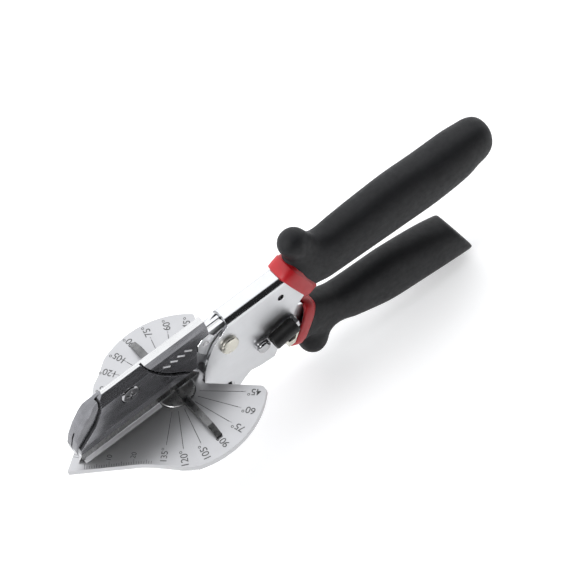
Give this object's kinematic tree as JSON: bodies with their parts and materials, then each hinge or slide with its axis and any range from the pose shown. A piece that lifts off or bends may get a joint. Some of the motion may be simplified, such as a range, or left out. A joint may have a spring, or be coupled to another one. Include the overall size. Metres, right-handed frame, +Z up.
{
  "type": "multi-angle mitre shear",
  "caption": "Hand shear that cuts trunking and edge strip: a straight blade in a pivoting jaw closes on a flat table with a turning angle fence.",
  "frame": {"origin": "centre of the turning fence's disc, on the cutting table's top face", "axes": "+X back along the blade's line to the handles, +Z up out of the table, -Y the side with the lock lever"},
  "size_m": [0.2227, 0.0732, 0.0868],
  "materials": {
    "table_metal": "satin chrome on a die-cast plate",
    "bright_steel": "bright plated",
    "frame_chrome": "bright chrome plate",
    "fastener_steel": "zinc plated",
    "pale_brass": "dull nickel over brass",
    "red_collar": "smooth semi-gloss",
    "black_grip": "fine grained matte",
    "gunmetal": "polished black nickel",
    "blade_steel": "ground",
    "dark_screw": "polished",
    "spring_steel": "drawn wire",
    "fence_metal": "turned and plated",
    "sleeve_rubber": "smooth matte"
  },
  "bodies": {
    "frame": {"base_table": "table_metal", "anvil_strip": "bright_steel", "upper_frame": "frame_chrome", "base_rivets": "fastener_steel", "pivot_pin": "pale_brass", "pivot_washer": "fastener_steel", "pivot_nut": "fastener_steel", "lock_bolt": "fastener_steel", "lock_spacer": "fastener_steel", "upper_collar": "red_collar", "upper_grip": "black_grip"},
    "blade_arm": {"lower_frame": "frame_chrome", "jaw_tang": "frame_chrome", "jaw_body": "gunmetal", "jaw_cover": "gunmetal", "blade": "blade_steel", "blade_pins": "fastener_steel", "clamp_screw": "dark_screw", "jaw_rivets": "fastener_steel", "lock_catch": "pale_brass", "return_spring": "spring_steel", "spring_seat": "fastener_steel", "lower_collar": "red_collar", "lower_grip": "black_grip"},
    "fence": {"fence_bar": "fence_metal", "fence_washer": "fastener_steel", "fence_screw": "fastener_steel"},
    "lock": {"lock_lever": "fastener_steel", "lock_sleeve": "sleeve_rubber", "lock_washer": "fastener_steel"}
  },
  "joints": [
    {"name": "handle_pivot", "type": "hinge", "parent": "frame", "child": "blade_arm", "pos_m": [0.0262, 0, 0.012], "axis": [0, 1, 0], "range_deg": [0, 28], "deforming": ["return_spring"]},
    {"name": "fence_turn", "type": "hinge", "parent": "frame", "child": "fence", "pos_m": [0, 0, 0], "axis": [0, 0, 1], "range_deg": [-45, 45]},
    {"name": "lock_swing", "type": "hinge", "parent": "frame", "child": "lock", "pos_m": [0.0396, -0.0062, -0.002], "axis": [0, 1, 0], "range_deg": [-50, 8]}
  ]
}
